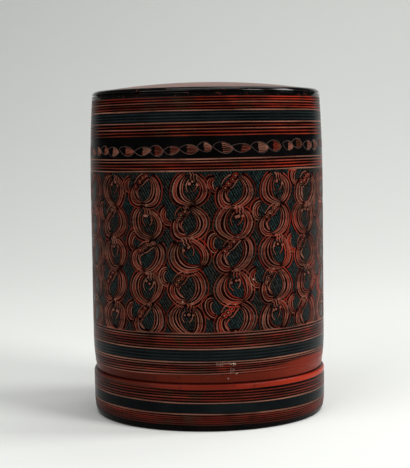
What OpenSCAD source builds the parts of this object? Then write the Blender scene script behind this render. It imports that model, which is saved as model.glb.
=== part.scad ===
// Lacquered betel box: a tall round box of wound bamboo under lacquer.
// A deep cover slides down over an inner drum and rests on the ledge of the base.
// Inside it, two trays stack on the mouth of the drum, each held by a spigot ring.
// The table is at z = 0 and the box stands on the z axis. Sizes are in millimetres.

/* [Cover] */
// Outer diameter of the cover at its widest
cover_d = 100; // [90:1:120]
// Height of the cover, from its lip to the top of its rim
cover_h = 118; // [105:0.5:140]
// Thickness of the cover's wall where it is widest
cover_wall_t = 2.6; // [2.2:0.1:4]
// Height of the plain hoop at the cover's lip
lip_h = 3.6; // [2:0.2:6]
// How far the cover draws in at its lip
lip_draw = 1.2; // [0.4:0.1:1.6]
// Height over which the cover draws in towards its lip
lip_draw_h = 14; // [8:1:30]
// How far the cover draws in at its shoulder
shoulder_draw = 1.1; // [0.4:0.1:1.6]
// Height over which the cover draws in towards its shoulder
shoulder_draw_h = 34; // [10:1:50]

/* [Top of the cover] */
// Height of the hoop round the top of the cover
rim_h = 3.9; // [3:0.1:6]
// Width of that hoop, from its outside to the top disc
rim_w = 3.2; // [3:0.1:6]
// Rounding of that hoop's outer edge
rim_round = 2.2; // [1:0.1:2.8]
// Width of the shelf in the hoop that carries the top disc
shelf_w = 2.4; // [1.5:0.1:4]
// Rise of the domed top disc above the hoop
dome_rise = 3.5; // [2:0.5:10]
// Thickness of the top disc
dome_t = 2; // [1.2:0.1:2.4]

/* [Base] */
// Height of the base, from the table to the ledge that the cover rests on
base_h = 19.5; // [14:0.5:30]
// Thickness of the band round the base
base_band_t = 3; // [2.4:0.1:5]
// Height of the ledge hoop on top of the band
ledge_h = 2.4; // [1.8:0.1:5]
// Rounding of the ledge hoop's outer edge
ledge_round = 1.3; // [0.5:0.1:1.6]
// Height of the hoop that the box stands on
foot_h = 2.2; // [1.8:0.1:5]
// How far the base draws in at the table
foot_draw = 0.9; // [0:0.1:1.5]
// Height over which the base draws in towards the table
foot_draw_h = 9; // [4:0.5:12]
// Rounding of the foot hoop's outer edge
foot_round = 1.2; // [0.4:0.1:1.6]
// How far the foot hoop reaches in under the floor disc
foot_seat_w = 3; // [1.5:0.5:8]
// Thickness of the drum's floor disc
floor_t = 2.6; // [1.6:0.1:5]

/* [Drum and trays] */
// Thickness of the walls of the drum and the trays
inner_wall_t = 2.2; // [1.6:0.1:4]
// Height of the hoop at the mouth of the drum and of each tray
mouth_hoop_h = 3; // [2:0.5:6]
// Height of a tray above what it sits on
tray_h = 23; // [15:0.5:32]
// Thickness of a tray's floor disc
tray_floor_t = 2; // [1.4:0.1:4]
// Height of the spigot ring under a tray
spigot_h = 5; // [3:0.5:8]
// Thickness of the spigot ring
spigot_t = 2.2; // [1.5:0.1:4]

/* [Fits] */
// Gap all round between the cover and the drum
cover_fit = 0.5; // [0.2:0.05:1]
// Gap all round between a spigot ring and the mouth that it sits in
tray_fit = 0.4; // [0.2:0.05:1]
// Putty line between a disc or band and the wall that it is set against
putty = 0.1; // [0.05:0.05:0.3]
// Headroom between the upper tray and the top of the cover
headroom = 0.8; // [0.3:0.1:3]

/* [Hidden] */
$fn = 120;

// Steps in a drawn-in outline, the least height of a step there, and steps in a rounded edge
draw_steps = 8;
least_step = 0.05;
round_steps = 6;

// Lacquer colours
black_lacquer = "#17110f";
brown_lacquer = "#5a2a20";
red_lacquer = "#a8321f";
line_lacquer = "#4a1a14";

// Radii, worked out from the cover inwards and from the drum out to the base
cover_r = cover_d / 2;
cover_in_r = cover_r - cover_wall_t;
drum_r = cover_in_r - cover_fit;
drum_in_r = drum_r - inner_wall_t;
base_in_r = drum_r + putty;
base_r = base_in_r + base_band_t;
foot_in_r = drum_in_r - foot_seat_w;
floor_r = drum_in_r - putty;
spigot_r = drum_in_r - tray_fit;
rim_r = cover_r - shoulder_draw;
dome_hole_r = rim_r - rim_w;
dome_r = dome_hole_r - putty;
shelf_in_r = dome_hole_r - shelf_w;

// Heights above the table
ledge_z = base_h - ledge_h;
lip_top_z = base_h + lip_h;
lip_draw_z = base_h + lip_draw_h;
rim_top_z = base_h + cover_h;
rim_z = rim_top_z - rim_h;
shoulder_z = rim_z - shoulder_draw_h;
shelf_z = rim_top_z - dome_t;
upper_tray_z = rim_z - headroom - tray_h;
lower_tray_z = upper_tray_z - tray_h;
drum_rim_z = lower_tray_z - mouth_hoop_h;

// Radius of the sphere that the top disc is part of
dome_sphere_r = (dome_r * dome_r + dome_rise * dome_rise) / (2 * dome_rise);

// Share of a draw-in at a height: nothing at its start, all of it at its end
function drawn(z, start, end) = pow(max(0, min(1, (z - start) / (end - start))), 2);

// Outside of the cover and of the base at a height
function cover_outside(z) = cover_r - lip_draw * drawn(z, lip_draw_z, base_h)
                                    - shoulder_draw * drawn(z, shoulder_z, rim_z);
function base_outside(z) = base_r - foot_draw * drawn(z, foot_draw_h, 0);

// Heights of an outline: its two ends and the steps that lie between them
function heights(z0, z1, steps) =
    concat([z0], [for (z = steps) if (z > z0 + least_step && z < z1 - least_step) z], [z1]);

// Points up the outside of the cover, from z0 to z1
function cover_outline(z0, z1) =
    let (lower = [for (i = [0 : draw_steps]) base_h + i * lip_draw_h / draw_steps],
         upper = [for (i = [0 : draw_steps]) shoulder_z + i * shoulder_draw_h / draw_steps])
    [for (z = heights(z0, z1, concat(lower, upper))) [cover_outside(z), z]];

// Points up the outside of the base, from z0 to z1
function base_outline(z0, z1) =
    let (drawn_in = [for (i = [1 : draw_steps]) i * foot_draw_h / draw_steps])
    [for (z = heights(z0, z1, drawn_in)) [base_outside(z), z]];

// Points of a rounded edge about its own centre, from one angle to another
function rounded(centre_r, centre_z, radius, from, to) =
    [for (i = [0 : round_steps])
        let (a = from + i * (to - from) / round_steps)
        [centre_r + radius * cos(a), centre_z + radius * sin(a)]];

// A plain ring of square section
module hoop(in_r, out_r, z0, z1) {
    rotate_extrude() translate([in_r, z0]) square([out_r - in_r, z1 - z0]);
}

// A flat disc
module disc(r, z0, z1) {
    translate([0, 0, z0]) cylinder(r = r, h = z1 - z0);
}

// Base and drum, which stay on the table

module foot_hoop() {
    edge_r = base_outside(0) - foot_round;
    color(black_lacquer) rotate_extrude()
        polygon(concat([[foot_in_r, foot_h], [foot_in_r, 0]],
                       rounded(edge_r, foot_round, foot_round, -90, 0),
                       [[base_outside(foot_h), foot_h]]));
}

module base_band() {
    color(line_lacquer) rotate_extrude()
        polygon(concat([[base_in_r, ledge_z], [base_in_r, foot_h]], base_outline(foot_h, ledge_z)));
}

module base_ledge() {
    edge_r = base_outside(base_h) - ledge_round;
    color(red_lacquer) rotate_extrude()
        polygon(concat([[base_in_r, base_h], [base_in_r, ledge_z], [base_outside(ledge_z), ledge_z]],
                       rounded(edge_r, base_h - ledge_round, ledge_round, 0, 90)));
}

module drum_floor() {
    color(red_lacquer) disc(floor_r, foot_h, foot_h + floor_t);
}

module drum_wall() {
    color(red_lacquer) hoop(drum_in_r, drum_r, foot_h, drum_rim_z);
}

module drum_rim() {
    color(black_lacquer) hoop(drum_in_r, drum_r, drum_rim_z, lower_tray_z);
}

// Trays: a spigot ring, a floor disc on it, a wall round the floor and a hoop on the wall

module tray_spigot(z) {
    color(red_lacquer) hoop(spigot_r - spigot_t, spigot_r, z - spigot_h, z);
}

module tray_floor(z) {
    color(red_lacquer) disc(floor_r, z, z + tray_floor_t);
}

module tray_wall(z) {
    color(red_lacquer) hoop(drum_in_r, drum_r, z, z + tray_h - mouth_hoop_h);
}

module tray_rim(z) {
    color(black_lacquer) hoop(drum_in_r, drum_r, z + tray_h - mouth_hoop_h, z + tray_h);
}

// Cover, which lifts off the base

module cover_lip() {
    color(red_lacquer) rotate_extrude()
        polygon(concat([[cover_in_r, lip_top_z], [cover_in_r, base_h]], cover_outline(base_h, lip_top_z)));
}

module cover_wall() {
    color(line_lacquer) rotate_extrude()
        polygon(concat([[cover_in_r, rim_z], [cover_in_r, lip_top_z]], cover_outline(lip_top_z, rim_z)));
}

module cover_rim() {
    color(black_lacquer) rotate_extrude()
        polygon(concat([[dome_hole_r, rim_top_z], [dome_hole_r, shelf_z], [shelf_in_r, shelf_z],
                        [shelf_in_r, rim_z], [rim_r, rim_z]],
                       rounded(rim_r - rim_round, rim_top_z - rim_round, rim_round, 0, 90)));
}

module cover_dome() {
    sphere_z = rim_top_z + dome_rise - dome_sphere_r;
    color(brown_lacquer) rotate_extrude() difference() {
        intersection() {
            translate([0, sphere_z]) circle(dome_sphere_r);
            translate([0, shelf_z]) square([dome_r, dome_t + dome_rise]);
        }
        intersection() {
            translate([0, sphere_z - dome_t]) circle(dome_sphere_r);
            square([shelf_in_r, rim_top_z + dome_rise]);
        }
    }
}

foot_hoop();
base_band();
base_ledge();
drum_floor();
drum_wall();
drum_rim();
tray_spigot(lower_tray_z);  // lower_tray_spigot
tray_floor(lower_tray_z);  // lower_tray_floor
tray_wall(lower_tray_z);  // lower_tray_wall
tray_rim(lower_tray_z);  // lower_tray_rim
tray_spigot(upper_tray_z);  // upper_tray_spigot
tray_floor(upper_tray_z);  // upper_tray_floor
tray_wall(upper_tray_z);  // upper_tray_wall
tray_rim(upper_tray_z);  // upper_tray_rim
cover_lip();
cover_wall();
cover_rim();
cover_dome();
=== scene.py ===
import math

import bmesh
import bpy
import numpy as np
from mathutils import Matrix, Vector


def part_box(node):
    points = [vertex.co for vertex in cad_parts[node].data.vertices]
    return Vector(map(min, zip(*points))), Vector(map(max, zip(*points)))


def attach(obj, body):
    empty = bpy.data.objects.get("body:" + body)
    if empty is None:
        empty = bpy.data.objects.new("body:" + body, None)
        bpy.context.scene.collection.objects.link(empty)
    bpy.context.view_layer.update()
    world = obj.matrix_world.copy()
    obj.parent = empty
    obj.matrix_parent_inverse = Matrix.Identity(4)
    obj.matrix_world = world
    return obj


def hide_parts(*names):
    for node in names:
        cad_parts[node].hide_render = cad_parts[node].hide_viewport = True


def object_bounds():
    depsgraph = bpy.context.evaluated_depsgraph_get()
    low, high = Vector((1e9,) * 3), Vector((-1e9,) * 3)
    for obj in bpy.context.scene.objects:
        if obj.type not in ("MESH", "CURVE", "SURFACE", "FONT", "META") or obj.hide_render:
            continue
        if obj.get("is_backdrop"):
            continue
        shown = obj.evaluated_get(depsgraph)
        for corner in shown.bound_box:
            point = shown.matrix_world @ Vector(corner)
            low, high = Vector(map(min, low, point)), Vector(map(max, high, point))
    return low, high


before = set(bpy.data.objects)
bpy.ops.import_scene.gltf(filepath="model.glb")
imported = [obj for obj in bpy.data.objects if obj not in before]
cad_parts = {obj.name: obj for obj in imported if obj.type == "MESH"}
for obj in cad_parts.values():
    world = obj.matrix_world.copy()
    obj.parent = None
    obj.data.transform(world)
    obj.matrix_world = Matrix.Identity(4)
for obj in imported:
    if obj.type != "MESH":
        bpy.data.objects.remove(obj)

cad_low, cad_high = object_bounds()
MM = 0.001

# Foot hoop
# The hoop of wound bamboo strip that the box stands on, puttied smooth and lacquered black.
# Its lower edge is rounded.

AROUND = 288                # steps round every turned piece
SKIN = 0.06 * MM            # depth of the last lacquer coat, which the laid lines stand in
STRAY = 0.03 * MM           # how much work turned by hand strays from true
BUTTED = 0.04 * MM          # rounding of an edge that is puttied flush to its neighbour


def waver(angle, height):
    """How far a hand-turned surface lies inside the true round, at an angle and a height."""
    slow = np.sin(2 * angle + 0.7) + 0.6 * np.sin(3 * angle + 40 * height)
    ripple = 0.4 * np.sin(5 * angle + 95 * height + 2.0)
    return SKIN + STRAY * (2.0 + slow + ripple)


def rings_of(node):
    """Heights and outer radii of a round CAD node, read from its own points, and its inner radius."""
    points = np.array([vertex.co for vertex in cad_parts[node].data.vertices])
    radius = np.hypot(points[:, 0], points[:, 1])
    height = points[:, 2].round(6)
    levels = np.unique(height)
    widest = np.array([radius[height == level].max() for level in levels])
    return levels, widest, radius.min()


def outside_rows(levels, widest, rows):
    """Radii and heights up the outside of a hoop, at its own corners and at even rows between them."""
    even = np.linspace(levels[0], levels[-1], rows + 1)
    heights = np.unique(np.concatenate([levels, even]).round(6))
    return [(np.interp(height, levels, widest), height) for height in heights]


def softened(corners, bottom, top):
    """An outline with sharp corners bent round, by one amount in its lower half and one in its upper."""
    straight = -0.7         # cosine of the flattest bend that still counts as a corner
    most = 0.45             # share of an edge that a rounded corner may take
    corners = np.array(corners)
    middle = (corners[:, 1].min() + corners[:, 1].max()) / 2
    outline = []
    for before, corner, after in zip(np.roll(corners, 1, 0), corners, np.roll(corners, -1, 0)):
        back = before - corner
        onward = after - corner
        back_length = np.linalg.norm(back)
        onward_length = np.linalg.norm(onward)
        nearly_straight = np.dot(back, onward) < straight * back_length * onward_length
        if nearly_straight or corner[0] == 0:
            outline.append(corner)
            continue
        amount = bottom if corner[1] < middle else top
        reach = min(amount, most * back_length, most * onward_length)
        start = corner + back / back_length * reach
        end = corner + onward / onward_length * reach
        for share in np.linspace(0, 1, 5):
            bend = (1 - share) ** 2 * start + 2 * share * (1 - share) * corner + share ** 2 * end
            outline.append(bend)
    return np.array(outline)


def hoop_outline(node, rows, bottom, top):
    """The closed outline of a hoop: its outside in even rows, its two ends and its straight inside."""
    levels, widest, inner = rings_of(node)
    outside = outside_rows(levels, widest, rows)
    return softened([(inner, levels[0]), *outside, (inner, levels[-1])], bottom, top)


def round_points(radius, angle, height):
    """Points about the box's axis, with their angles taken from the front."""
    return np.stack([radius * np.sin(angle), -radius * np.cos(angle), height], axis=-1).reshape(-1, 3)


def piece_of(name, mesh, material):
    """A new object of a mesh in its finish."""
    mesh.materials.append(material)
    piece = bpy.data.objects.new(name, mesh)
    bpy.context.scene.collection.objects.link(piece)
    return piece


def turned(name, outline, material):
    """A turned piece from its outline of radius and height, unrolled so that its finish keeps its detail."""
    count = len(outline)
    solid_disc = outline[0][0] == 0
    spans = count - 1 if solid_disc else count
    angle = np.linspace(-math.pi, math.pi, AROUND, endpoint=False)[:, None]
    radius = np.maximum(outline[:, 0] - waver(angle, outline[:, 1]), 0)
    height = np.broadcast_to(outline[:, 1], radius.shape)
    ends = np.roll(outline, -1, axis=0)[:spans]
    lengths = np.linalg.norm(ends - outline[:spans], axis=1)
    share = np.concatenate([[0], np.cumsum(lengths)]) / lengths.sum()
    faces = []
    chart = []
    for step in range(AROUND):
        here = step * count
        there = (step + 1) % AROUND * count
        left = step / AROUND
        right = (step + 1) / AROUND
        for span in range(spans):
            above = (span + 1) % count
            faces.append((here + span, there + span, there + above, here + above))
            low, high = share[span], share[span + 1]
            chart += [(left, low), (right, low), (right, high), (left, high)]
    mesh = bpy.data.meshes.new(name)
    mesh.from_pydata(round_points(radius, angle, height).tolist(), [], faces)
    mesh.uv_layers.new(name="OFBake").data.foreach_set("uv", np.array(chart).ravel())
    mesh.polygons.foreach_set("use_smooth", [True] * len(faces))
    shape = bmesh.new()
    shape.from_mesh(mesh)
    bmesh.ops.remove_doubles(shape, verts=shape.verts, dist=0.001 * MM)
    shape.to_mesh(mesh)
    shape.free()
    return piece_of(name, mesh, material)


def stands_for(piece, node, body):
    """The piece takes the CAD node's place and moves with its body."""
    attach(piece, body)
    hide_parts(node)


def hoop(node, name, rows, material, body, bottom=BUTTED, top=BUTTED):
    """A wound hoop or wall in a CAD node's place, with its two ends rounded by the given amounts."""
    stands_for(turned(name, hoop_outline(node, rows, bottom, top), material), node, body)


def colour(red, green, blue):
    """A colour as a screen shows it, in linear light."""
    parts = [part / 255 for part in (red, green, blue)]
    return (*[part / 12.92 if part < 0.04045 else ((part + 0.055) / 1.055) ** 2.4 for part in parts], 1)


def add(tree, kind, inputs, **settings):
    """A shader node with its settings, and a value or a link for each of the named inputs."""
    node = tree.nodes.new("ShaderNode" + kind)
    for name, value in settings.items():
        setattr(node, name, value)
    for name, value in inputs.items():
        if isinstance(value, bpy.types.NodeSocket):
            tree.links.new(value, node.inputs[name])
        else:
            node.inputs[name].default_value = value
    return node


def worked_out(tree, operation, *values):
    """The outcome of a sum on shader values."""
    return add(tree, "Math", dict(enumerate(values)), operation=operation).outputs["Value"]


def blended(tree, share, first, second):
    """The colour between two colours, at a share from 0 to 1."""
    mix = add(tree, "Mix", {0: share, 6: first, 7: second}, data_type="RGBA")
    return mix.outputs[2]


def stretched(tree, share, low, high, bottom=0.0, top=1.0):
    """A value moved from one range to another and held inside it."""
    limits = {"From Min": low, "From Max": high, "To Min": bottom, "To Max": top}
    return add(tree, "MapRange", {"Value": share, **limits}).outputs["Result"]


def place_in_box(tree):
    """Where a point of the surface lies in the frame of the box, in metres."""
    return add(tree, "TexCoord", {}).outputs["Object"]


def cloudy(tree, place, scale, detail, roughness=0.5):
    """Cloudy noise at a place, with a number of clouds per unit of length."""
    inputs = {"Vector": place, "Scale": scale, "Detail": detail, "Roughness": roughness}
    return add(tree, "TexNoise", inputs).outputs["Fac"]


def finish_group(name, inputs, outputs):
    """An empty node group with named inputs and outputs."""
    group = bpy.data.node_groups.new(name, "ShaderNodeTree")
    for label, value in inputs.items():
        socket = group.interface.new_socket(label, in_out="INPUT", socket_type="NodeSocketFloat")
        socket.default_value = value
    for label in outputs:
        group.interface.new_socket(label, in_out="OUTPUT", socket_type="NodeSocketFloat")
    return group, group.nodes.new("NodeGroupInput"), group.nodes.new("NodeGroupOutput")


def use_group(tree, group, **inputs):
    """Places a finish group in a material with its own values."""
    node = tree.nodes.new("ShaderNodeGroup")
    node.node_tree = group
    for label, value in inputs.items():
        node.inputs[label].default_value = value
    return node


def aged_lacquer_group():
    """Age of hand-rubbed lacquer: slow patches of tone, fine rubbed scuffs, and uneven coats."""
    inputs = {"Patch": 45.0, "Scuff": 0.62}
    group, given, put_out = finish_group("aged_lacquer", inputs, ["Patches", "Scuffs", "Height"])
    place = place_in_box(group)
    patches = cloudy(group, place, given.outputs["Patch"], 5.0)
    group.links.new(patches, put_out.inputs["Patches"])
    drawn_out = add(group, "Mapping", {"Vector": place, "Scale": (1.0, 1.0, 7.0)}).outputs["Vector"]
    rubs = cloudy(group, drawn_out, 260.0, 6.0, 0.7)
    edge = worked_out(group, "ADD", given.outputs["Scuff"], 0.1)
    scuffs = stretched(group, rubs, given.outputs["Scuff"], edge)
    group.links.new(scuffs, put_out.inputs["Scuffs"])
    coats = cloudy(group, place, 420.0, 4.0, 0.6)
    group.links.new(coats, put_out.inputs["Height"])
    return group


def wound_strip_group():
    """Faint ripples of the bamboo strip under the lacquer, wound up a wall or coiled out over a disc."""
    group, given, put_out = finish_group("wound_strip", {"Strip": 90.0}, ["Wall Height", "Disc Height"])
    waves = {"Vector": place_in_box(group), "Scale": given.outputs["Strip"]}
    waves.update({"Distortion": 1.2, "Detail": 2.0, "Detail Scale": 0.3})
    wound = add(group, "TexWave", waves, wave_type="BANDS", bands_direction="Z")
    coiled = add(group, "TexWave", waves, wave_type="RINGS", rings_direction="Z")
    group.links.new(wound.outputs["Fac"], put_out.inputs["Wall Height"])
    group.links.new(coiled.outputs["Fac"], put_out.inputs["Disc Height"])
    return group


aged_lacquer = aged_lacquer_group()
wound_strip = wound_strip_group()


def lacquer(name, gloss, patch, scuff):
    """A new material whose shader carries the even gloss of lacquer, satin near 0 and polished at 0.5,
    and the age of its coats, with the density of its patches and the level at which scuffs begin."""
    material = bpy.data.materials.new(name)
    material.use_nodes = True
    tree = material.node_tree
    shader = tree.nodes["Principled BSDF"]
    shader.inputs["IOR"].default_value = 1.5
    shader.inputs["Specular IOR Level"].default_value = gloss
    age = use_group(tree, aged_lacquer, Patch=patch, Scuff=scuff).outputs
    return material, tree, shader, age


def lay_finish(tree, shader, tone, roughness, height, depth):
    """Gives the shader its colour, its roughness and a fine relief, which all change over the surface."""
    tree.links.new(tone, shader.inputs["Base Color"])
    tree.links.new(roughness, shader.inputs["Roughness"])
    bump = add(tree, "Bump", {"Height": height, "Distance": depth, "Strength": 0.6})
    tree.links.new(bump.outputs["Normal"], shader.inputs["Normal"])


def lay_scuffed(tree, shader, age, ripple, ground, scuffs, roughness, depth):
    """Lays a ground with dull scuffs of a strength and a colour, over the ripple of the strip."""
    strength, scuff_tone = scuffs
    strip = use_group(tree, wound_strip)
    rubbed_off = worked_out(tree, "MULTIPLY", age["Scuffs"], strength)
    tone = blended(tree, rubbed_off, ground, scuff_tone)
    dulled = stretched(tree, age["Scuffs"], 0, 1, *roughness)
    height = worked_out(tree, "ADD", strip.outputs[ripple], age["Height"])
    lay_finish(tree, shader, tone, dulled, height, depth)


BLACK = colour(5, 4, 4)
GREY_SCUFFS = (0.12, colour(120, 100, 88))
BLACK_RELIEF = 0.03 * MM


def black_lacquer_finish(name, gloss, chipped=0.0, polish=0.2):
    """Old black lacquer, brown where it is thin, with grey scuffs, and with chips down to the brown
    underlayer that show by the given amount. Polish is the roughness of its smoothest places."""
    material, tree, shader, age = lacquer(name, gloss, patch=70.0, scuff=0.6)
    thin = stretched(tree, age["Patches"], 0.45, 0.75)
    ground = blended(tree, thin, BLACK, colour(14, 8, 6))
    chips = cloudy(tree, place_in_box(tree), 380.0, 3.0)
    ground = blended(tree, stretched(tree, chips, 0.62, 0.7, 0.0, chipped), ground, colour(74, 36, 26))
    lay_scuffed(tree, shader, age, "Wall Height", ground, GREY_SCUFFS, (polish, 0.45), BLACK_RELIEF)
    return material


foot_black = black_lacquer_finish("foot_black_lacquer", 0.03)
hoop("foot_hoop", "black_foot_hoop", 4, foot_black, "base", bottom=0.5 * MM)

# Base band
# The striped band round the base, wound of bamboo strip and lacquered black over a dark green zone.
# Its stripes are turned in with a stylus, filled with red and orange lacquer and rubbed flush.

hand = np.random.default_rng(23)
lip_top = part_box("cover_lip")[1].z
# Worn red of the stretch above the cover's lip, also laid on the lip's right side, where it is partly
# painted light.
LIP_RED_WORN_AND_LIT = colour(114, 35, 20)


def worn_and_lit_group():
    """Shares that grow round the box's right side, used as painted light from the right on the ledge and
    lip, and round its left side, and the stretch above the cover's lip where the stripes on the right are
    rubbed away."""
    inputs = {"Low": lip_top, "Climb": 3.2 * MM}
    group, given, put_out = finish_group("worn_and_lit_side", inputs, ["Right", "Left", "Stripes"])
    place = place_in_box(group)
    axes = add(group, "SeparateXYZ", {0: place}).outputs
    uneven = worked_out(group, "MULTIPLY_ADD", cloudy(group, place, 60.0, 4.0), 0.03, axes["X"])
    right = stretched(group, uneven, 0.022, 0.052)
    left = stretched(group, uneven, 0.004, -0.026)
    edge = worked_out(group, "MULTIPLY_ADD", right, given.outputs["Climb"], given.outputs["Low"])
    soft_edge = worked_out(group, "ADD", edge, 0.7 * MM)
    below = stretched(group, axes["Z"], edge, soft_edge, 1.0, 0.0)
    above = worked_out(group, "GREATER_THAN", axes["Z"], given.outputs["Low"])
    stretch = worked_out(group, "MULTIPLY", below, above)
    stripes = worked_out(group, "MULTIPLY", stretch, right)
    for label, share in (("Right", right), ("Left", left), ("Stripes", stripes)):
        group.links.new(share, put_out.inputs[label])
    return group


worn_and_lit_side = worn_and_lit_group()


def banded_finish(name, zones, slope, hatched=None, gloss=0.03):
    """The engraver's ground: black lacquer with zones of dark green or maroon, each from its height upward,
    and fine slanting green hatching between two heights."""
    material, tree, shader, age = lacquer(name, gloss, patch=60.0, scuff=0.64)
    axes = add(tree, "SeparateXYZ", {0: place_in_box(tree)}).outputs
    level = worked_out(tree, "MULTIPLY_ADD", axes["X"], -slope, axes["Z"])
    top = cad_high.z
    bands = add(tree, "ValToRGB", {"Fac": stretched(tree, level, 0.0, top)})
    bands.color_ramp.interpolation = "CONSTANT"
    for number, (height, shade) in enumerate(zones):
        stops = bands.color_ramp.elements
        stop = stops[number] if number < 2 else stops.new(height / top)
        stop.position = height / top
        stop.color = shade
    depth = stretched(tree, age["Patches"], 0.38, 0.68, 0.6, 1.9)
    ground = add(tree, "HueSaturation", {"Color": bands.outputs["Color"], "Value": depth}).outputs["Color"]
    if hatched:
        greener = stretched(tree, age["Patches"], 0.42, 0.58)
        scratch_tone = blended(tree, greener, colour(52, 51, 46), colour(34, 56, 54))
        ground = blended(tree, hatching(tree, axes, level, hatched), ground, scratch_tone)
    rubbed = use_group(tree, worn_and_lit_side).outputs["Stripes"]
    ground = blended(tree, rubbed, ground, LIP_RED_WORN_AND_LIT)
    lay_scuffed(tree, shader, age, "Wall Height", ground, GREY_SCUFFS, (0.22, 0.42), BLACK_RELIEF)
    return material


def lay_strokes(name, strokes, node, body, lift, material):
    """Thin strokes of filling on a round wall of a body, from their middle lines on the unrolled wall, their
    widths and their tones. Each is a closed strip, sunk into the wall, that stands a hair proud of it."""
    levels, widest, _ = rings_of(node)
    reach = widest.max()
    corners = []
    faces = []
    tones = []
    chart = []
    start = 0
    for line, width, tone in strokes:
        along = np.gradient(line, axis=0)
        along /= np.linalg.norm(along, axis=1)[:, None]
        half = np.broadcast_to(width, len(line))[:, None] / 2
        aside = np.column_stack([-along[:, 1], along[:, 0]]) * half
        section = np.stack([line + aside, line + aside, line - aside, line - aside], axis=1)
        angle = section[..., 0] / reach
        height = section[..., 1]
        depth = np.array([-2 * SKIN, lift, lift, -2 * SKIN])
        radius = np.interp(height, levels, widest) - waver(angle, height) + depth
        corners.append(round_points(radius, angle, height))
        share = (height - levels[0]) / (levels[-1] - levels[0])
        chart.append(np.stack([angle / (2 * math.pi) + 0.5, share], axis=-1).reshape(-1, 2))
        tones.append(np.full(4 * len(line), tone))
        here = start + 4 * np.arange(len(line) - 1)
        there = here + 4
        for side in range(4):
            onward = (side + 1) % 4
            faces.append(np.stack([here + side, here + onward, there + onward, there + side], axis=1))
        near_end = start + np.arange(4)
        far_end = near_end + 4 * (len(line) - 1)
        faces.append(np.stack([near_end[::-1], far_end]))
        start += 4 * len(line)
    mesh = bpy.data.meshes.new(name)
    mesh.from_pydata(np.concatenate(corners).tolist(), [], np.concatenate(faces).tolist())
    of_loop = np.zeros(len(mesh.loops), dtype=int)
    mesh.loops.foreach_get("vertex_index", of_loop)
    unrolled = np.clip(np.concatenate(chart), 0, 1)
    mesh.uv_layers.new(name="OFBake").data.foreach_set("uv", unrolled[of_loop].ravel())
    mesh.attributes.new("tone", "FLOAT", "POINT").data.foreach_set("value", np.concatenate(tones))
    piece = piece_of(name, mesh, material)
    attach(piece, body)


def ring_line(height, width, tone, slope, reach):
    """A line turned round the box, with the small wander of a stylus held by hand."""
    angle = np.linspace(-math.pi, math.pi, AROUND + 1)
    about_a_turn = 6.28

    def wave(turns):
        return np.sin(turns * angle + hand.uniform(0, about_a_turn))

    wander = sum(STRAY * wave(turns) for turns in (2, 3, 5, 9))
    pressure = 1 + 0.18 * wave(4) + 0.12 * wave(11)
    line = np.column_stack([angle * reach, height + slope * reach * np.sin(angle) + wander])
    return line, width * pressure, tone


LINE_WIDTH = 0.39 * MM
EDGE_WIDTH = 0.45 * MM


def line_group(low, high, count, pale_ends, slopes, reach, paleness=0.0):
    """Evenly turned lines between two heights, paler at the named ends of the group, whose slope goes over
    from that of the lowest line to that of the highest."""
    heights = np.linspace(low, high, count)
    line_slopes = np.linspace(*slopes, count)
    lines = []
    for number, (height, slope) in enumerate(zip(heights, line_slopes)):
        at_end = (number == 0 and "low" in pale_ends) or (number == count - 1 and "high" in pale_ends)
        tone = 1.0 if at_end else paleness + hand.uniform(-0.4, 0.75)
        lines.append(ring_line(height, EDGE_WIDTH if at_end else LINE_WIDTH, tone, slope, reach))
    return lines


LINE_ROUGHNESS = (0.24, 0.42)
LINE_RELIEF = 0.02 * MM


def filled_line_finish(name, freshness):
    """Red lacquer rubbed into the engraved lines: patchy along each line, olive brown where it has aged,
    fresh red in places and more so on the right, paler and orange on edge lines, dark where it is worn."""
    material, tree, shader, age = lacquer(name, 0.03, patch=110.0, scuff=0.58)
    place = place_in_box(tree)
    along_lines = add(tree, "Mapping", {"Vector": place, "Scale": (38.0, 38.0, 420.0)}).outputs["Vector"]
    runs = stretched(tree, cloudy(tree, along_lines, 1.0, 3.0), 0.35, 0.65)
    red = blended(tree, runs, colour(66, 22, 15), colour(113, 37, 25))
    aged = stretched(tree, cloudy(tree, place, 170.0, 2.0), 0.5, 0.68, 0.0, 0.8)
    red = blended(tree, aged, red, colour(66, 44, 27))
    side = add(tree, "SeparateXYZ", {0: place}).outputs["X"]
    fresher = worked_out(tree, "MULTIPLY_ADD", side, 1.6, cloudy(tree, place, 62.0, 2.0))
    red = blended(tree, stretched(tree, fresher, 0.54, 0.7, 0.0, freshness), red, colour(160, 43, 26))
    orange = blended(tree, runs, colour(92, 60, 49), colour(135, 91, 75))
    tone = add(tree, "Attribute", {}, attribute_name="tone").outputs["Fac"]
    filling = blended(tree, stretched(tree, tone, 0.0, 1.0), red, orange)
    faded = blended(tree, stretched(tree, tone, 0.0, -1.0), filling, colour(32, 19, 15))
    worn = stretched(tree, age["Patches"], 0.56, 0.74, 0.0, 0.6)
    kept = blended(tree, worn, faded, colour(22, 12, 9))
    rubbed = use_group(tree, worn_and_lit_side).outputs["Stripes"]
    shown = blended(tree, rubbed, kept, LIP_RED_WORN_AND_LIT)
    roughness = stretched(tree, age["Patches"], 0, 1, *LINE_ROUGHNESS)
    lay_finish(tree, shader, shown, roughness, age["Height"], LINE_RELIEF)
    return material


MAROON = colour(14, 1, 0)
GREEN = colour(8, 12, 13)
LIFT = 0.05 * MM            # how far a filled line stands proud of its ground

base_stripes_low = 3.0 * MM
base_zone_low = 7.2 * MM
base_zone_high = 11.8 * MM
base_ledge_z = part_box("base_ledge")[0].z
base_slope = -math.tan(math.radians(0.5))
base_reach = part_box("base_band")[1].x

base_zones = [(0.0, BLACK), (base_stripes_low, MAROON), (base_zone_low, GREEN), (base_zone_high, MAROON)]
base_ground = banded_finish("base_band_ground", base_zones, base_slope)
hoop("base_band", "striped_base_band", 20, base_ground, "base")

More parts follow.
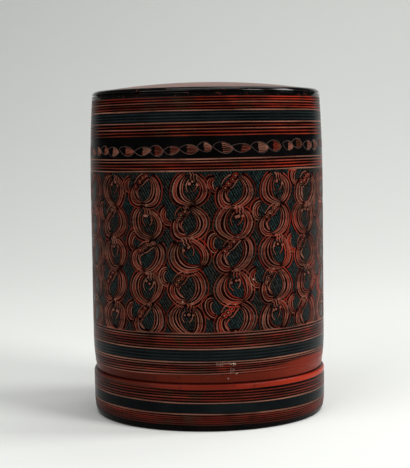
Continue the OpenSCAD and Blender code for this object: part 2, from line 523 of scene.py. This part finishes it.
bold_width = 0.55 * MM
lower_width = 0.44 * MM
lowest_line = 2.9 * MM
highest_line = base_ledge_z - 0.9 * MM
base_slopes = (base_slope, base_slope)
base_strokes = line_group(base_zone_high, highest_line, 5, ["low"], base_slopes, base_reach)
base_strokes.append(ring_line(base_zone_low, bold_width, 0.9, base_slope, base_reach))
lower_heights = np.linspace(base_zone_low - 1.0 * MM, lowest_line, 5)
lower_tones = np.linspace(0.05, -0.7, 5)
for height, tone in zip(lower_heights, lower_tones):
    base_strokes.append(ring_line(height, lower_width, tone, base_slope, base_reach))
base_line = filled_line_finish("base_line_filling", 0.15)
lay_strokes("base_red_lines", base_strokes, "base_band", "base", LIFT, base_line)

# Base ledge
# The rounded ledge at the top of the base that the cover's lip comes down on, in plain red lacquer.
# Browner on the left, painted brighter on the right as painted light, with painted shade at the seam.
# Stripes lap over its left.

DIRT = colour(38, 16, 11)
# Painted shade for the crevice where the cover's lip sits on the ledge.
PAINTED_SEAM_SHADE = colour(42, 4, 2)
RED_SCUFFS = (0.2, colour(150, 92, 74))


def red_lacquer_finish(name, gloss, bright, deep, disc=False, seam=None, rubbed=None, browned=None):
    """Plain red lacquer, uneven in tone, with small dark spots and duller scuffs. Its right side may take a
    brighter colour, painted light from the right, its left side may be browned, and painted shade may darken
    the seam."""
    material, tree, shader, age = lacquer(name, gloss, patch=38.0, scuff=0.6)
    place = place_in_box(tree)
    tone = blended(tree, stretched(tree, age["Patches"], 0.34, 0.68), bright, deep)
    # Painted light: the right side is blended towards a brighter colour, as if lit by the lamps on the
    # right.
    if rubbed:
        tone = blended(tree, use_group(tree, worn_and_lit_side).outputs["Right"], tone, rubbed)
    if browned:
        tone = blended(tree, use_group(tree, worn_and_lit_side).outputs["Left"], tone, browned)
    spots = stretched(tree, cloudy(tree, place, 520.0, 3.0), 0.63, 0.72, 0.0, 0.7)
    dirt_and_seam_shade = blended(tree, spots, tone, DIRT)
    # Painted shade: the colour darkens within about half a millimetre of the seam, where the lip meets the
    # ledge.
    if seam:
        height = add(tree, "SeparateXYZ", {0: place}).outputs["Z"]
        distance = worked_out(tree, "ABSOLUTE", worked_out(tree, "SUBTRACT", height, seam))
        seam_shade = stretched(tree, distance, 0.15 * MM, 0.55 * MM, 1.0, 0.0)
        dirt_and_seam_shade = blended(tree, seam_shade, dirt_and_seam_shade, PAINTED_SEAM_SHADE)
    ripple = "Disc Height" if disc else "Wall Height"
    lay_scuffed(tree, shader, age, ripple, dirt_and_seam_shade, RED_SCUFFS, (0.3, 0.52), 0.04 * MM)
    return material


seam_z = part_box("base_ledge")[1].z
# The ledge's bright right side is painted light, and its seam colour is painted shade.
ledge_red = red_lacquer_finish(
    "ledge_red_lacquer", 0.06, colour(109, 30, 16), colour(80, 23, 12),
    seam=seam_z, rubbed=colour(156, 43, 22), browned=colour(76, 31, 22))
hoop("base_ledge", "red_base_ledge", 6, ledge_red, "base")

LAP_STEPS = 60
lap_angle = np.linspace(math.radians(-178), math.radians(-10), LAP_STEPS)
lap_rise = 1.25 * MM * np.sin(np.linspace(0, math.pi, LAP_STEPS))
lapped = []
for share, part, tone in ((0.2, 0.4, -1.0), (0.52, 0.24, -0.1), (0.82, 0.36, -1.0)):
    line = np.column_stack([lap_angle * base_reach, base_ledge_z + share * lap_rise])
    lapped.append((line, part * lap_rise + 0.02 * MM, tone))
lay_strokes("ledge_lapped_lines", lapped, "base_ledge", "base", LIFT, base_line)

# Drum
# The inner drum that the cover slides over: a coiled floor, a wound wall and a hoop at its mouth.
# It is plain red inside and out, black under the floor and at the hoop.

ROUNDED_MOUTH = 0.7 * MM
mouth_black = black_lacquer_finish("mouth_black_lacquer", 0.3)
drum_red = red_lacquer_finish("drum_red_lacquer", 0.12, colour(126, 33, 19), colour(84, 22, 13))
floor_red = red_lacquer_finish(
    "floor_red_lacquer", 0.12, colour(122, 33, 19), colour(84, 23, 14), disc=True)


def disc_outline(node, edge):
    """The outline of a coiled disc from its middle out along its underside and back along its top."""
    low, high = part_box(node)
    rings = np.linspace(0, high.x, 13)
    underside = [(radius, low.z) for radius in rings]
    top = [(radius, high.z) for radius in rings[::-1]]
    return softened(underside + top, edge, edge)


def blacken_underside(piece):
    """Gives the faces that look down the black lacquer of an unseen underside."""
    piece.data.materials.append(foot_black)
    for face in piece.data.polygons:
        face.material_index = 1 if face.normal.z < -0.7 else 0


drum_floor = turned("drum_floor_disc", disc_outline("drum_floor", BUTTED), floor_red)
blacken_underside(drum_floor)
stands_for(drum_floor, "drum_floor", "base")
hoop("drum_wall", "drum_wound_wall", 40, drum_red, "base")
hoop("drum_rim", "drum_black_mouth", 6, mouth_black, "base", top=ROUNDED_MOUTH)

# Trays
# Two shallow trays that stack in the drum's mouth, each a coiled floor with a wound wall and a black hoop.
# A ring glued under the floor drops into the mouth below and keeps the tray in place.

for tray in ("lower_tray", "upper_tray"):
    hoop(tray + "_spigot", tray + "_seat_ring", 6, drum_red, tray, bottom=ROUNDED_MOUTH)
    tray_floor = turned(tray + "_coiled_floor", disc_outline(tray + "_floor", 0.3 * MM), floor_red)
    stands_for(tray_floor, tray + "_floor", tray)
    hoop(tray + "_wall", tray + "_wound_wall", 14, drum_red, tray)
    hoop(tray + "_rim", tray + "_black_mouth", 6, mouth_black, tray, top=ROUNDED_MOUTH)

# Cover lip
# The plain hoop at the cover's lower edge, in brown-red lacquer, where the cover is gripped and set down.
# Its edge is rounded by wear. Its right side is worn red and partly painted light, and painted shade lies at
# the seam.

# The lip's right side takes the worn red of the stripes above, partly as painted light; its seam colour is
# painted shade.
lip_red = red_lacquer_finish(
    "lip_red_lacquer", 0.04, colour(88, 27, 12), colour(64, 20, 10), seam=seam_z, rubbed=LIP_RED_WORN_AND_LIT)
hoop("cover_lip", "red_cover_lip", 6, lip_red, "cover", bottom=0.4 * MM)

# Cover wall
# The tall wound wall of the cover, lacquered black and engraved all over: zones of stripes at both ends,
# two dark green zones, a black zone for the chain, and a field of curls on a hatched ground.

stripes_low = 23.0 * MM
lower_green_low = 28.4 * MM
lower_green_high = 33.5 * MM
field_low = 39.9 * MM
field_high = 104.4 * MM
chain_low = 109.1 * MM
chain_high = 118.4 * MM
upper_green_low = 123.4 * MM
upper_green_high = 128.2 * MM
stripes_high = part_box("cover_wall")[1].z
cover_slope = math.tan(math.radians(0.3))
cover_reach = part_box("cover_wall")[1].x

HATCH_AROUND = 270                          # scratches that are met once round the wall
HATCH_SETS = ((-490.0, 1.0), (700.0, 0.4))  # scratches met per metre up the wall, and their strength


def hatching(tree, axes, level, limits):
    """Fine slanting scratches round the wall between two heights, strong one way and faint the other."""
    turn = worked_out(tree, "ARCTAN2", axes["X"], axes["Y"])
    masks = []
    for upward, strength in HATCH_SETS:
        climb = worked_out(tree, "MULTIPLY", level, upward)
        phase = worked_out(tree, "MULTIPLY_ADD", turn, HATCH_AROUND / (2 * math.pi), climb)
        saw = worked_out(tree, "PINGPONG", phase, 0.5)
        masks.append(stretched(tree, saw, 0.13, 0.21, strength, 0.0))
    both = worked_out(tree, "MAXIMUM", *masks)
    below = worked_out(tree, "LESS_THAN", level, limits[1])
    above = worked_out(tree, "GREATER_THAN", level, limits[0])
    inside = worked_out(tree, "MULTIPLY", below, above)
    patches = add(tree, "TexNoise", {"Scale": 110.0, "Detail": 3.0}).outputs["Fac"]
    pressed = stretched(tree, patches, 0.36, 0.64, 0.1, 1.0)
    scratched = worked_out(tree, "MULTIPLY", both, pressed)
    return worked_out(tree, "MULTIPLY", scratched, inside)


cover_zones = [
    (0.0, MAROON),
    (lower_green_low, GREEN),
    (lower_green_high, MAROON),
    (field_low, BLACK),
    (field_high, MAROON),
    (chain_low, BLACK),
    (chain_high, MAROON),
    (upper_green_low, GREEN),
    (upper_green_high, MAROON),
]
cover_ground = banded_finish(
    "cover_wall_ground", cover_zones, cover_slope, hatched=(field_low, field_high))
hoop("cover_wall", "engraved_cover_wall", 60, cover_ground, "cover")

# Cover stripes
# The turned lines of the cover's wall in five groups, red with pale orange edge lines,
# and the faint grey-green lines in the two dark green zones.


def thin_line_finish(name, fresh, old, patch, fading):
    """Thin filling of faint lines, worn from its fresh to its old colour over a range of the patches."""
    material, tree, shader, age = lacquer(name, 0.06, patch=patch, scuff=0.6)
    faded = stretched(tree, age["Patches"], *fading)
    roughness = stretched(tree, age["Patches"], 0, 1, *LINE_ROUGHNESS)
    tone = blended(tree, faded, fresh, old)
    lay_finish(tree, shader, tone, roughness, age["Height"], LINE_RELIEF)
    return material


red_groups = [
    (stripes_low + 0.5 * MM, lower_green_low, 6, ["high"], 3.0 * cover_slope, -0.05),
    (lower_green_high, field_low, 7, ["low"], cover_slope, 0.3),
    (field_high, chain_low, 5, ["low", "high"], cover_slope, 0.0),
    (chain_high, upper_green_low, 5, ["high"], cover_slope, -0.1),
    (upper_green_high, stripes_high - 0.2 * MM, 6, ["low"], cover_slope, -0.2),
]
stripes = []
for low, high, count, pale_ends, low_slope, paleness in red_groups:
    slopes = (low_slope, cover_slope)
    stripes += line_group(low, high, count, pale_ends, slopes, cover_reach, paleness)
red_line = filled_line_finish("red_line_filling", 0.7)
lay_strokes("cover_red_lines", stripes, "cover_wall", "cover", LIFT, red_line)

faint = []
for low, high in ((lower_green_low, lower_green_high), (upper_green_low, upper_green_high)):
    for height in np.linspace(low, high, 5)[1:-1]:
        faint.append(ring_line(height, 0.4 * MM, 0.0, cover_slope, cover_reach))
green_line = thin_line_finish(
    "green_line_filling", colour(27, 33, 35), colour(14, 18, 20), 130.0, (0.35, 0.7))
lay_strokes("cover_green_lines", faint, "cover_wall", "cover", LIFT, green_line)

# Curl field
# Columns of curling stems with buds, which close to rings and swing left and right by turns down a column.
# They are engraved freehand line by line, on a dark ground that is left clear of the hatching.

COLUMNS = 18
ROWS = 5
row_pitch = (field_high - field_low) / ROWS
row_drop = 1.3 * MM         # the rows sit low in the field, and its edge cuts the last

# The marks of a curl: place and width as shares of the way across it, and kind, with the tones of each kind.
WIDE = (
    (0.185, 0.14, "band"), (0.01, 0.105, "line"), (0.36, 0.1, "line"),
    (0.7, 0.12, "line"), (0.98, 0.1, "faint"))
SLIM = ((0.29, 0.19, "band"), (0.04, 0.15, "line"), (0.57, 0.14, "line"), (0.96, 0.13, "faint"))
HOOK = ((0.27, 0.18, "band"), (0.02, 0.13, "line"), (0.54, 0.13, "line"), (0.97, 0.14, "line"))
LEAF = ((0.47, 0.22, "band"), (0.08, 0.17, "line"), (0.9, 0.16, "line"))
TONES = {"band": (-0.3, 0.3), "line": (0.45, 1.0), "faint": (-0.3, 0.5)}

# The strips of cleared ground under a curl: place and width as shares, and a margin in millimetres.
CLEARED = ((0.0, 0.5, 1.4), (0.5, 0.5, 0.3), (0.84, 0.38, 0.5))


def any_turn(*count):
    """An angle anywhere in a full turn, or as many as are asked for."""
    return hand.uniform(0, 2 * math.pi, *count)


def oval(centre, radii, start, end, steps):
    """Points of a stretch of an oval, in millimetres, from one angle to another in degrees."""
    turn = np.radians(np.linspace(start, end, steps + 1))
    return np.column_stack([centre[0] + radii[0] * np.cos(turn), centre[1] + radii[1] * np.sin(turn)])


def curl(outer, inner, marks, ends):
    """A curl of marks that run side by side between its outer and its inner edge and draw together at both
    ends. Gives its bands, its lines with a faint one outside them, and the dark ground under all."""
    stand_off = 1.15        # of the faint line outside, in millimetres
    fine = 0.4              # width of that line
    drift_share = 0.035     # how far a mark drifts aside on its way
    taper_share = 0.12      # how much of a mark is tapered at each end
    along = np.linspace(0, 1, len(outer))
    swell = ends + (1 - ends) * np.sin(math.pi * along) ** 0.8
    across = (inner - outer) * swell[:, None]
    span = np.linalg.norm(across, axis=1)
    outside = outer - across / span[:, None] * stand_off
    filled = []
    edged = [(outside[2:-3], fine, hand.uniform(-0.7, 0.3))]
    for share, part, kind in marks:
        first, last = hand.uniform(0.0, 0.07, 2)
        kept = (along >= first) & (along <= 1 - last)
        drift = drift_share * np.sin(2 * math.pi * along + any_turn())
        middle = outer + across * (share + drift)[:, None]
        taper = np.clip(np.minimum(along - first, 1 - last - along) / taper_share, 0.3, 1)
        pressed = part * span * taper * hand.uniform(0.88, 1.08)
        tone = hand.uniform(*TONES[kind])
        chosen = filled if kind == "band" else edged
        chosen.append((middle[kept], pressed[kept], tone))
    grounds = []
    for share, part, margin in CLEARED:
        middle = outer + across * share
        grounds.append((middle[1:-1], (part * span + margin)[1:-1], 0.0))
    return filled, edged, grounds


def dot(centre, radius, tone):
    """A round dot, as a short stroke that swells and closes."""
    steps = radius * np.array([-1.0, -0.7, 0.0, 0.7, 1.0])
    width = 2 * np.sqrt(np.maximum(radius ** 2 - steps ** 2, (0.2 * radius) ** 2))
    return np.column_stack([centre[0] + steps, np.full(5, centre[1])]), width, tone


def strayed(centre, spread):
    """A point that the hand has missed a little."""
    return np.array(centre) + hand.normal(0, spread, 2)


def bud(centre, radius):
    """A round bud like a bead, and the dark ground round it."""
    return [], [dot(centre, radius, hand.uniform(0.7, 1.0))], [dot(centre, radius + 0.6, 0.0)]


def eye(centre, radius):
    """A bud like an eye: a bright dot in a dark round with a red ring about it."""
    pupil = 0.4
    ring_width = 0.34
    margin = 0.5
    begin = hand.uniform(0, 360)
    ring = oval(centre, (radius, 0.9 * radius), begin, begin + 300, 8)
    edged = [(ring, ring_width, hand.uniform(-0.3, 0.5)), dot(centre, pupil, hand.uniform(0.8, 1.0))]
    return [], edged, [dot(centre, radius + margin, 0.0)]


def tendril(points, width):
    """A short bent stroke through a few points, thinner at its end, and the dark ground round it."""
    points = np.array(points, float)
    share = np.linspace(0, len(points) - 1, 3 * len(points))
    line = np.column_stack([np.interp(share, range(len(points)), points[:, axis]) for axis in (0, 1)])
    smooth = line.copy()
    smooth[1:-1] = (line[:-2] + line[1:-1] + line[2:]) / 3
    pressed = width * np.linspace(1.0, 0.6, len(line))
    return [], [(smooth, pressed, hand.uniform(0.2, 0.9))], [(smooth, pressed + 0.6, 0.0)]


def left_stem():
    """A stem that swings out to the left, with a slim arm on the right and buds that hang in its ring."""
    stem = oval((-0.1, 0.1), (7.1, 6.6), 100, 298, 22)
    stem_inside = oval((0.3, 0), (3.3, 3.5), 92, 302, 22)
    arm = oval((0.4, 0.0), (6.2, 6.2), 80, -78, 20)
    arm_inside = oval((0.4, 0), (3.3, 3.4), 84, -78, 20)
    parts = [
        curl(stem, stem_inside, WIDE, 0.36),
        curl(arm, arm_inside, SLIM, 0.36),
        tendril([(-0.9, 3.6), (-1.9, 2.2), (-2.0, 0.4), (-0.9, -1.2)], 0.42),
        tendril([(2.3, 3.0), (2.5, 1.6), (1.9, 0.2), (1.0, -0.7)], 0.42),
        tendril([(-0.6, 6.6), (0.2, 5.6), (-0.3, 4.6), (0.1, 3.7)], 0.55),
        tendril([(0.8, 6.6), (1.3, 5.6), (0.9, 4.6), (1.4, 3.4)], 0.55),
        tendril([(2.0, 6.3), (2.6, 5.3), (2.1, 4.5), (2.7, 3.7)], 0.5),
    ]
    for centre in ((0.6, 2.7), (2.3, 2.4), (-1.1, 2.6)):
        parts.append(bud(strayed(centre, 0.4), hand.uniform(0.45, 0.65)))
    return parts


def right_stem(first_row):
    """A stem that swings out to the right round a small hook, with a row of buds and a leaf on the left."""
    stem = oval((0.1, 0.1), (7.2, 6.8), 72, -112, 22)
    stem_inside = oval((0.0, 0), (3.4, 3.6), 82, -112, 22)
    hook = oval((-2.8, -1.5), (4.1, 4.4), 116, 300, 18)
    hook_inside = oval((-2.4, -1.3), (1.1, 1.2), 116, 300, 18)
    leaf_centre = (-7.6, 3.0) if first_row else (-7.6, 4.8)
    leaf_height = 3.0 if first_row else 3.9
    leaf = oval(leaf_centre, (3.2, leaf_height), 66, 292, 14)
    leaf_inside = oval(leaf_centre, (0.7, 1.3), 66, 292, 14)
    parts = [
        curl(stem, stem_inside, WIDE, 0.4),
        curl(hook, hook_inside, HOOK, 0.5),
        curl(leaf, leaf_inside, LEAF, 0.6),
        tendril([(-0.9, 6.8), (-2.6, 6.2), (-4.0, 5.0), (-5.0, 3.4)], 0.45),
        tendril([(1.9, 4.6), (0.6, 3.6), (-0.4, 2.2), (-1.8, 1.5)], 0.42),
        tendril([(-2.2, 1.0), (-3.3, -0.1), (-3.4, -1.6), (-2.3, -2.8)], 0.42),
        bud((0.5, -6.2), hand.uniform(0.5, 0.65)),
    ]
    for centre in ((0.8, 5.9), (-0.9, 4.7), (-2.5, 3.4), (-3.9, 2.0)):
        parts.append(eye(strayed(centre, 0.18), hand.uniform(0.9, 1.1)))
    return parts


def on_wall(stroke, angle, height, size, lean, bend, limits):
    """Moves a stroke from its own millimetres to its place on the unrolled wall, between two heights,
    turned by its lean and bent a little out of true, as a freehand drawing is."""
    bend_depth = 0.5
    bend_length = 3.2
    line, width, tone = stroke
    uneven = line + bend_depth * np.sin(line[:, ::-1] / bend_length + bend)
    turn = np.array([[math.cos(lean), -math.sin(lean)], [math.sin(lean), math.cos(lean)]])
    placed = uneven @ turn.T * size * MM + np.array([angle * cover_reach, height])
    rise = cover_slope * cover_reach * np.sin(placed[:, 0] / cover_reach)
    placed[:, 1] = np.clip(placed[:, 1], *limits) + rise
    return placed, np.asarray(width) * size * MM, tone


FIRST_COLUMN = -168.1               # degrees from the front
WIDER = math.radians(2.46)          # the columns stand wider apart at the front than at the back
WIDEST_AT = math.radians(1.5)
curl_bands = []
curl_edges = []
curl_grounds = []
field_limits = (field_low + 0.3 * MM, field_high - 0.5 * MM)
for column in range(COLUMNS):
    even_angle = math.radians(FIRST_COLUMN + 360 / COLUMNS * column)
    column_angle = even_angle + WIDER * math.sin(even_angle - WIDEST_AT)
    for row in range(ROWS):
        parts = left_stem() if (column + row) % 2 == 0 else right_stem(row == 0)
        angle = column_angle + hand.normal(0, 0.009)
        height = field_high - row_pitch * (row + 0.5) - row_drop + hand.normal(0, 0.3) * MM
        bend = any_turn(2)
        size = hand.uniform(0.96, 1.08)
        setting = (angle, height, size, hand.normal(0, 0.12), bend, field_limits)
        for part in parts:
            for placed, strokes in zip((curl_bands, curl_edges, curl_grounds), part):
                placed += [on_wall(stroke, *setting) for stroke in strokes]

cleared_zones = [(0.0, BLACK), (field_low, colour(16, 1, 0))]
cleared_ground = banded_finish("cleared_field_ground", cleared_zones, cover_slope, gloss=0.01)
lay_strokes("cover_curl_grounds", curl_grounds, "cover_wall", "cover", 0.4 * LIFT, cleared_ground)
lay_strokes("cover_curls", curl_bands, "cover_wall", "cover", 0.7 * LIFT, red_line)
lay_strokes("cover_curl_edges", curl_edges, "cover_wall", "cover", LIFT, red_line)

# Chain border
# A chain of pointed links round the cover above the curls, each link an outline with a fan of strokes
# in its right half. It is drawn freehand and wanders up and down in its black zone.

LINKS = 45


def chain_link(half):
    """The strokes of one link of a half length in millimetres: its two bowed edges, and the lines that fill
    its right half and close in on its right tip."""
    edge_width = 0.22
    line_width = 0.44
    spread = 0.76           # share of the link's height that its lines fill
    tip = 0.96              # share of its half length that they reach
    across = np.linspace(-1, 1, 13)
    bow = hand.uniform(1.7, 2.3) * (1 - across ** 2) ** 0.85
    fuller = half * (1.06 * across + 0.08 * (1 - across ** 2))
    edges = [(np.column_stack([fuller, side * bow]), edge_width, 0.0) for side in (-1, 1)]
    strength = hand.uniform(-0.35, 1.0)
    filled = []
    begin = hand.uniform(-0.2, 0.1)
    for share in np.linspace(-spread, spread, int(hand.integers(5, 7))):
        start = begin + hand.uniform(-0.06, 0.06)
        reach = np.linspace(start, tip, 7)
        line = np.column_stack([half * reach, share * np.interp(reach, across, bow)])
        width = line_width * np.linspace(1.0, 0.5, 7) * hand.uniform(0.8, 1.1)
        filled.append((line, width, strength + hand.normal(0, 0.25)))
    return edges, filled


link_lengths = hand.uniform(0.8, 1.2, LINKS)
link_angles = link_lengths / link_lengths.sum() * 2 * math.pi
link_ends = np.cumsum(link_lengths) / link_lengths.sum() * 2 * math.pi - math.pi
chain_middle = (chain_low + chain_high) / 2
chain_limits = (chain_low + 0.5 * MM, chain_high - 0.5 * MM)
chain_edges = []
chain_fillings = []
for length, end in zip(link_angles, link_ends):
    angle = end - length / 2
    height = chain_middle + (-0.4 + 0.9 * math.sin(angle) + hand.normal(0, 0.12)) * MM
    setting = (angle, height, 1.0, hand.normal(0, 0.07), any_turn(2), chain_limits)
    edges, filled = chain_link(0.5 * length * cover_reach / MM)
    chain_edges += [on_wall(stroke, *setting) for stroke in edges]
    chain_fillings += [on_wall(stroke, *setting) for stroke in filled]
faded_line = thin_line_finish(
    "chain_edge_filling", colour(84, 66, 60), colour(42, 34, 32), 120.0, (0.38, 0.66))
lay_strokes("cover_chain_edges", chain_edges, "cover_wall", "cover", 0.8 * LIFT, faded_line)
chain_line = filled_line_finish("chain_filling", 0.15)
lay_strokes("cover_chain_border", chain_fillings, "cover_wall", "cover", LIFT, chain_line)

# Scuffs
# Chalky scratches low on the front of the cover, where the lacquer was scraped down to its pale putty,
# and small chips here and there in the engraving.


def bare_putty_finish():
    """Pale dry putty that shows where the lacquer is scraped off, greyer where dirt has got in, and only
    a dull brown where a scratch hasn't gone through."""
    material, tree, shader, age = lacquer("bare_putty", 0.1, patch=900.0, scuff=0.55)
    soil = stretched(tree, age["Patches"], 0.4, 0.65)
    putty_tone = blended(tree, soil, colour(194, 172, 156), colour(118, 88, 75))
    bareness = add(tree, "Attribute", {}, attribute_name="tone").outputs["Fac"]
    tone = blended(tree, bareness, colour(74, 46, 37), putty_tone)
    roughness = stretched(tree, age["Patches"], 0, 1, 0.6, 0.9)
    lay_finish(tree, shader, tone, roughness, age["Height"], 0.03 * MM)
    return material


def scratch(angle, height, length, lean, bareness):
    """A short scratch at an angle in degrees and a height and length in millimetres. It leans from upright
    by some degrees and is scraped bare by a share."""
    run = np.linspace(-0.5, 0.5, 4) * length * MM
    line = np.column_stack([math.sin(math.radians(lean)) * run, math.cos(math.radians(lean)) * run])
    width = 0.24 * MM * np.array([0.5, 1.0, 0.9, 0.4])
    return line + np.array([math.radians(angle) * cover_reach, height * MM]), width, bareness


upright_scratches = [(angle, 27.4, 1.6, 0.0, 0.35) for angle in np.linspace(3.4, 6.6, 8)]
rub_along = [(angle, 27.7, 0.9, 90.0, 0.6) for angle in np.linspace(7.2, 10.0, 6)]
bare_end = [(angle, 27.6, 0.8, 70.0, 1.0) for angle in np.linspace(10.3, 11.9, 7)]
rub_down = [
    (11.3, 26.7, 0.9, 10.0, 0.8),
    (9.9, 24.7, 2.2, 0.0, 0.5),
    (11.0, 24.9, 1.5, 0.0, 0.3),
    (11.7, 24.6, 1.2, 0.0, 0.3),
    (12.6, 23.4, 0.9, 60.0, 1.0),
    (12.9, 23.5, 0.7, 45.0, 1.0),
]
chips = [(8.6, 21.6, 0.5), (-29.0, 86.6, 1.0), (21.0, 61.0, 1.0), (-12.0, 52.5, 1.0)]
scuffs = []
for angle, height, length, lean, bareness in upright_scratches + rub_along + bare_end + rub_down:
    angle += hand.normal(0, 0.15)
    height += hand.normal(0, 0.15)
    length *= hand.uniform(0.7, 1.3)
    lean += hand.normal(0, 8)
    scuffs.append(scratch(angle, height, length, lean, bareness * hand.uniform(0.6, 1.0)))
for angle, height, bareness in chips:
    scuffs.append(scratch(angle, height, 0.7, 27, bareness))
    scuffs.append(scratch(angle + 0.3, height - 0.2, 0.5, -17, bareness))
putty = bare_putty_finish()
lay_strokes("cover_scuffs", scuffs, "cover_wall", "cover", 1.2 * LIFT, putty)

# Cover rim
# The black hoop at the cover's shoulder, rounded outside, with a shelf inside for the glued top disc.
# Its lacquer is polished smooth in places.


def shoulder_outline():
    """The rim's outline: its outside and rounded top, then down its inside over the shelf."""
    levels, widest, shelf_inner = rings_of("cover_rim")
    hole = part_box("cover_dome")[1].x
    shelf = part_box("cover_dome")[0].z
    outside = outside_rows(levels, widest, 4)
    inside = [(hole, levels[-1]), (hole, shelf), (shelf_inner, shelf)]
    return softened([(shelf_inner, levels[0]), *outside, *inside], BUTTED, 0.2 * MM)


rim_black = black_lacquer_finish("rim_black_lacquer", 0.22, chipped=0.7, polish=0.1)
rim = turned("black_cover_rim", shoulder_outline(), rim_black)
stands_for(rim, "cover_rim", "cover")

# Cover dome
# The shallow domed disc that closes the cover, in red-brown lacquer made paler and beiger as painted sheen,
# with the faint rings of its bamboo coil.
# It drops into the rim from above and is puttied round its edge.


def dome_outline():
    """The dome's outline, from the middle of its underside out to its edge and back over its top."""
    low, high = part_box("cover_dome")
    edge_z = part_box("cover_rim")[1].z
    rise = high.z - edge_z
    sphere = (high.x ** 2 + rise ** 2) / (2 * rise)
    rings = np.linspace(0, high.x, 41)
    top = [(radius, high.z - sphere + math.sqrt(sphere ** 2 - radius ** 2)) for radius in rings]
    thickness = edge_z - low.z
    underside = [(radius, height - thickness) for radius, height in top]
    return softened(underside + top[::-1], BUTTED, 0.3 * MM)


# Painted sheen: both tones are paler and beiger than the red-brown lacquer, standing in for the glare on the
# top.
dome_brown_and_sheen = red_lacquer_finish(
    "dome_brown_and_sheen_lacquer", 0.45, colour(128, 70, 52), colour(100, 54, 40), disc=True)
dome = turned("brown_cover_dome", dome_outline(), dome_brown_and_sheen)
stands_for(dome, "cover_dome", "cover")

# Studio
# A seamless pale sweep under and behind the box in a pale room, two small soft lights from the right, wide
# ones from the front left and from overhead, and one on the backdrop. The camera stands where the
# photograph was taken from.


def sweep():
    """A floor that bends up into a backdrop far behind the box."""
    half_width = 1.5
    floor_start = -1.0
    floor_end = 0.5
    bend = 2.4
    backdrop_top = 4.0
    profile = [(floor_start, 0.0), (0.0, 0.0), (floor_end, 0.0)]
    for share in np.linspace(0, 1, 25)[1:]:
        turn = share * math.pi / 2
        profile.append((floor_end + bend * math.sin(turn), bend * (1 - math.cos(turn))))
    profile.append((floor_end + bend, backdrop_top))
    points = [(side * half_width, y, z) for y, z in profile for side in (-1, 1)]
    faces = [(2 * step, 2 * step + 1, 2 * step + 3, 2 * step + 2) for step in range(len(profile) - 1)]
    mesh = bpy.data.meshes.new("pale_sweep")
    mesh.from_pydata(points, [], faces)
    mesh.polygons.foreach_set("use_smooth", [True] * len(faces))
    paper = bpy.data.materials.new("pale_paper")
    paper.use_nodes = True
    tree = paper.node_tree
    shader = tree.nodes["Principled BSDF"]
    fibre = add(tree, "TexNoise", {"Scale": 3.0, "Detail": 4.0}).outputs["Fac"]
    paper_tone = blended(tree, fibre, colour(238, 240, 236), colour(242, 243, 240))
    tree.links.new(paper_tone, shader.inputs["Base Color"])
    shader.inputs["Roughness"].default_value = 0.9
    shader.inputs["Specular IOR Level"].default_value = 0.1
    return piece_of("pale_sweep", mesh, paper)


sweep()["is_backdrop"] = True


def soft_light(name, place, target, size, power):
    """A soft box, wide and high as its size says, that faces a point."""
    lamp = bpy.data.lights.new(name, "AREA")
    lamp.shape = "RECTANGLE"
    lamp.size, lamp.size_y = size
    lamp.energy = power
    light = bpy.data.objects.new(name, lamp)
    light.location = place
    light.rotation_euler = (Vector(target) - Vector(place)).to_track_quat("-Z", "Y").to_euler()
    bpy.context.scene.collection.objects.link(light)


middle = (0, 0, 0.06)
soft_light("right", (1.0, 0.06, 0.75), middle, (0.4, 0.4), 6.0)
soft_light("front_right", (0.85, -0.66, 0.78), middle, (0.4, 0.4), 7.8)
soft_light("front", (-0.95, -1.0, 0.8), middle, (1.4, 0.8), 9.4)
soft_light("overhead", (0.0, -0.35, 1.6), middle, (1.2, 1.2), 9.0)
soft_light("backdrop", (0.8, 0.9, 1.9), (0.45, 2.2, 0.6), (1.5, 1.2), 16.0)

world = bpy.data.worlds.new("dim_room")
world.use_nodes = True
room = world.node_tree
seen = add(room, "LightPath", {}).outputs["Is Camera Ray"]
room_light = blended(room, seen, (0.04, 0.04, 0.041, 1), colour(205, 207, 203))
room.links.new(room_light, room.nodes["Background"].inputs["Color"])
bpy.context.scene.world = world

view_distance = 0.5508
view_pitch = math.radians(4.244)
view_roll = math.radians(-0.8)
view_centre = Vector((-0.00104, 0, 0.0758))
lens = bpy.data.cameras.new("view")
lens.lens = 97.7
lens.sensor_width = 36.0
camera = bpy.data.objects.new("view", lens)
away = Vector((0, -math.cos(view_pitch), math.sin(view_pitch)))
stand = Matrix.Translation(view_centre + view_distance * away)
aim = Matrix.Rotation(math.pi / 2 - view_pitch, 4, "X")
camera.matrix_world = stand @ aim @ Matrix.Rotation(view_roll, 4, "Z")
bpy.context.scene.collection.objects.link(camera)
bpy.context.scene.camera = camera
bpy.context.scene.view_settings.view_transform = "Standard"

low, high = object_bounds()
